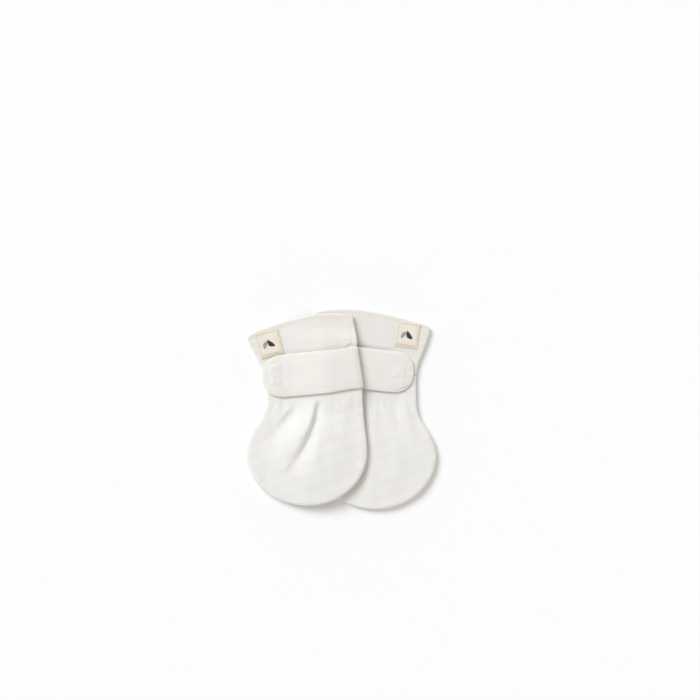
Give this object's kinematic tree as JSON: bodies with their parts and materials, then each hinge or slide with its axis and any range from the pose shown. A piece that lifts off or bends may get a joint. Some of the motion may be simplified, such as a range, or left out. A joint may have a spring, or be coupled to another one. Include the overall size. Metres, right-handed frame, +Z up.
{
  "type": "pair of baby mittens",
  "caption": "Pair of soft cotton baby mittens with flared cuffs and wide closing straps, laid flat with one partly over the other.",
  "frame": {"origin": "centre of the pair's bounding box in plan, on the surface the mittens lie on", "axes": "+X across the pair towards the right mitten's outer side, +Y from the fingertips to the cuffs, +Z up"},
  "size_m": [0.1055, 0.111, 0.0108],
  "materials": {
    "ivory_jersey": "soft matt cotton knit",
    "ecru_label": "matt woven cotton tape"
  },
  "bodies": {
    "root": {"left_pouch_back": "ivory_jersey", "left_pouch_front": "ivory_jersey", "left_cuff_back": "ivory_jersey", "left_cuff_front": "ivory_jersey", "left_strap": "ivory_jersey", "left_label": "ecru_label", "right_pouch_back": "ivory_jersey", "right_pouch_front": "ivory_jersey", "right_cuff_back": "ivory_jersey", "right_cuff_front": "ivory_jersey", "right_strap": "ivory_jersey", "right_label": "ecru_label"}
  },
  "joints": []
}
